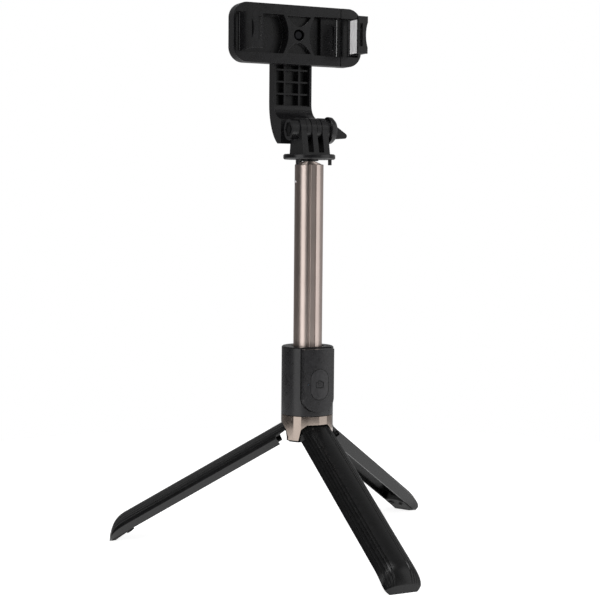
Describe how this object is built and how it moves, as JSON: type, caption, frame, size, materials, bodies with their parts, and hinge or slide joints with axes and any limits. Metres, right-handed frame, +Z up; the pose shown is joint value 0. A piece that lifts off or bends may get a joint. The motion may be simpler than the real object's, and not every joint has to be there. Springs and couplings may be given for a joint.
{
  "type": "tripod selfie stick",
  "caption": "Pocket selfie stick that stands as a tripod: fold-out legs, telescopic tube, tilting bracket, spring phone clamp and slide-out remote.",
  "frame": {"origin": "middle of the footprint's bounding box, on the ground that the feet stand on", "axes": "+Z up along the stick, -Y towards the front leg, the remote's button and the phone's screen, +X towards the clamp's sliding end"},
  "size_m": [0.2318, 0.2008, 0.3434],
  "materials": {
    "collar_plastic": "fine satin grain, charcoal",
    "leg_plastic": "satin black, moulded with lengthways flutes",
    "clamp_plastic": "matte black, fine spark texture",
    "ring_bronze": "polished warm bronze plating",
    "tube_anodised": "satin rose-gold anodising, drawn lengthways",
    "steel": "plain bright steel",
    "foot_rubber": "matte black rubber",
    "pad_grey": "light grey soft pad, fine ribs",
    "nylon": "natural nylon",
    "board": "green solder resist",
    "black_steel": "black oxide, fine turned lines",
    "lens": "smoked clear",
    "button_rubber": "soft charcoal silicone"
  },
  "bodies": {
    "handle": {"collar_body": "collar_plastic", "base_ring": "ring_bronze", "leg_hub": "leg_plastic", "guide_sleeve": "nylon"},
    "leg_front": {"leg_front": "leg_plastic", "foot_front": "foot_rubber", "leg_pin_front": "steel"},
    "leg_right": {"leg_right": "leg_plastic", "foot_right": "foot_rubber", "leg_pin_right": "steel"},
    "leg_left": {"leg_left": "leg_plastic", "foot_left": "foot_rubber", "leg_pin_left": "steel"},
    "remote": {"remote_front_shell": "collar_plastic", "remote_back_shell": "collar_plastic", "remote_indicator": "lens", "remote_circuit_board": "board", "remote_switch": "steel", "remote_battery": "steel"},
    "shutter_button": {"remote_button": "button_rubber"},
    "tube_1": {"tube_outer": "tube_anodised", "tube_nub_left": "steel", "tube_nub_right": "steel"},
    "tube_2": {"tube_section_2": "tube_anodised", "slide_bush_2": "nylon"},
    "tube_3": {"tube_section_3": "tube_anodised", "slide_bush_3": "nylon"},
    "tube_4": {"tube_section_4": "tube_anodised", "slide_bush_4": "nylon"},
    "head": {"tube_section_5": "tube_anodised", "slide_bush_5": "nylon", "head_base": "clamp_plastic", "tilt_nut": "black_steel"},
    "knob": {"tilt_knob": "clamp_plastic", "tilt_bolt": "black_steel"},
    "arm": {"bracket_arm": "clamp_plastic", "pivot_rivet": "black_steel"},
    "clamp": {"clamp_body": "clamp_plastic", "clamp_back_cover": "clamp_plastic", "clamp_spring_upper": "steel", "clamp_spring_lower": "steel"},
    "slider": {"clamp_slider": "clamp_plastic"},
    "jaw_left": {"jaw_left": "clamp_plastic", "jaw_pad_left": "pad_grey", "jaw_pin_left": "steel"},
    "jaw_right": {"jaw_right": "clamp_plastic", "jaw_pad_right": "pad_grey", "jaw_pin_right": "steel"}
  },
  "joints": [
    {"name": "leg_front_fold", "type": "hinge", "parent": "handle", "child": "leg_front", "pos_m": [0, 0.01406, 0.07572], "axis": [1, 0, 0], "range_deg": [0, 58.8]},
    {"name": "leg_right_fold", "type": "hinge", "parent": "handle", "child": "leg_right", "pos_m": [0.01039, 0.03207, 0.07572], "axis": [-0.5, 0.866, 0], "range_deg": [0, 58.8]},
    {"name": "leg_left_fold", "type": "hinge", "parent": "handle", "child": "leg_left", "pos_m": [-0.01039, 0.03207, 0.07572], "axis": [-0.5, -0.866, 0], "range_deg": [0, 58.8]},
    {"name": "remote_slide", "type": "slide", "parent": "handle", "child": "remote", "axis": [0, 0, -1], "range_m": [-0.045, 0]},
    {"name": "shutter_press", "type": "slide", "parent": "remote", "child": "shutter_button", "axis": [0, 1, 0], "range_m": [0, 0.0004], "stiffness_N_per_m": 900},
    {"name": "tube_slide", "type": "slide", "parent": "handle", "child": "tube_1", "axis": [0, 0, -1], "range_m": [0, 0.1175]},
    {"name": "section_2_slide", "type": "slide", "parent": "tube_1", "child": "tube_2", "axis": [0, 0, -1], "range_m": [-0.1, 0]},
    {"name": "section_3_slide", "type": "slide", "parent": "tube_2", "child": "tube_3", "axis": [0, 0, -1], "range_m": [-0.1, 0]},
    {"name": "section_4_slide", "type": "slide", "parent": "tube_3", "child": "tube_4", "axis": [0, 0, -1], "range_m": [-0.1, 0]},
    {"name": "section_5_slide", "type": "slide", "parent": "tube_4", "child": "head", "axis": [0, 0, -1], "range_m": [-0.1, 0]},
    {"name": "head_tilt", "type": "hinge", "parent": "head", "child": "arm", "pos_m": [0, 0.02607, 0.26402], "axis": [1, 0, 0], "range_deg": [-22, 175]},
    {"name": "knob_turn", "type": "hinge", "parent": "head", "child": "knob", "pos_m": [0.013, 0.02607, 0.26402], "axis": [1, 0, 0], "continuous": true},
    {"name": "clamp_swivel", "type": "hinge", "parent": "arm", "child": "clamp", "pos_m": [0, 0.04607, 0.32482], "axis": [0, -1, 0], "continuous": true},
    {"name": "clamp_slide", "type": "slide", "parent": "clamp", "child": "slider", "axis": [-1, 0, 0], "range_m": [-0.03, 0], "stiffness_N_per_m": 250, "springref_m": 0.01},
    {"name": "jaw_left_fold", "type": "hinge", "parent": "clamp", "child": "jaw_left", "pos_m": [-0.0403, 0.04367, 0.32482], "axis": [0, 0, 1], "range_deg": [0, 90]},
    {"name": "jaw_right_fold", "type": "hinge", "parent": "slider", "child": "jaw_right", "pos_m": [0.0368, 0.04367, 0.32482], "axis": [0, 0, -1], "range_deg": [0, 90]}
  ]
}
